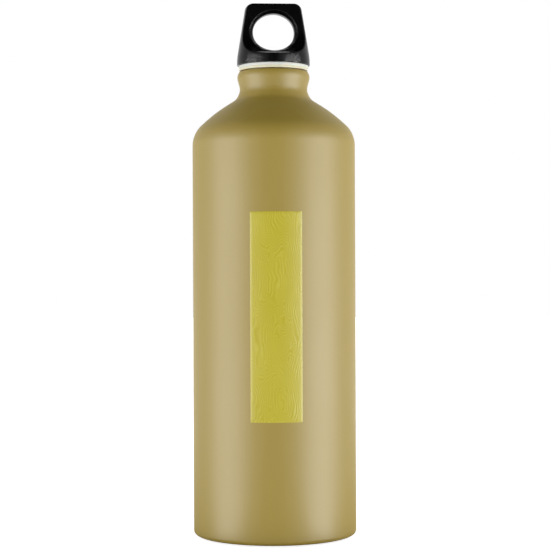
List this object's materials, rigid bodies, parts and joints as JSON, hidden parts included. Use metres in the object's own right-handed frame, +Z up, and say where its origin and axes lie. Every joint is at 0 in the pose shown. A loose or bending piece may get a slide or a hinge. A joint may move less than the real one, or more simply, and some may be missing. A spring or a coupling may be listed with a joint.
{
  "type": "screw-top aluminium bottle",
  "caption": "Slim aluminium drinking bottle with a domed shoulder, a waisted threaded neck, and a black screw cap whose flat loop has a finger hole.",
  "frame": {"origin": "centre of the base, on the surface that the bottle stands on", "axes": "+Z up along the bottle's axis, -Y towards the front with the panel, +X to the right seen from the front"},
  "size_m": [0.08, 0.0803, 0.2615],
  "materials": {
    "body_lacquer": "satin khaki-gold lacquer",
    "inner_lining": "baked food-safe lining",
    "thread_metal": "bare, machined",
    "front_panel": "thin yellow foil, slightly wrinkled",
    "gasket": "cream silicone",
    "plug_plastic": "cream-white moulded plastic",
    "cap_plastic": "black moulded plastic, satin"
  },
  "bodies": {
    "bottle": {"bottle_shell": "body_lacquer", "inner_liner": "inner_lining", "neck_thread_ring": "thread_metal", "label_panel": "front_panel"},
    "seal": {"sealing_gasket": "gasket"},
    "cap": {"threaded_plug": "plug_plastic", "cap_handle": "cap_plastic"}
  },
  "joints": [
    {"name": "cap_lift", "type": "slide", "parent": "bottle", "child": "seal", "axis": [0, 0, 1], "range_m": [0, 0.0201]},
    {"name": "cap_turn", "type": "hinge", "parent": "seal", "child": "cap", "pos_m": [0, 0, 0.2288], "axis": [0, 0, 1], "range_deg": [0, 1800]}
  ],
  "couplings": [
    {"joint": "cap_lift", "follows": "cap_turn", "m_per_rad": 0.00063662}
  ]
}
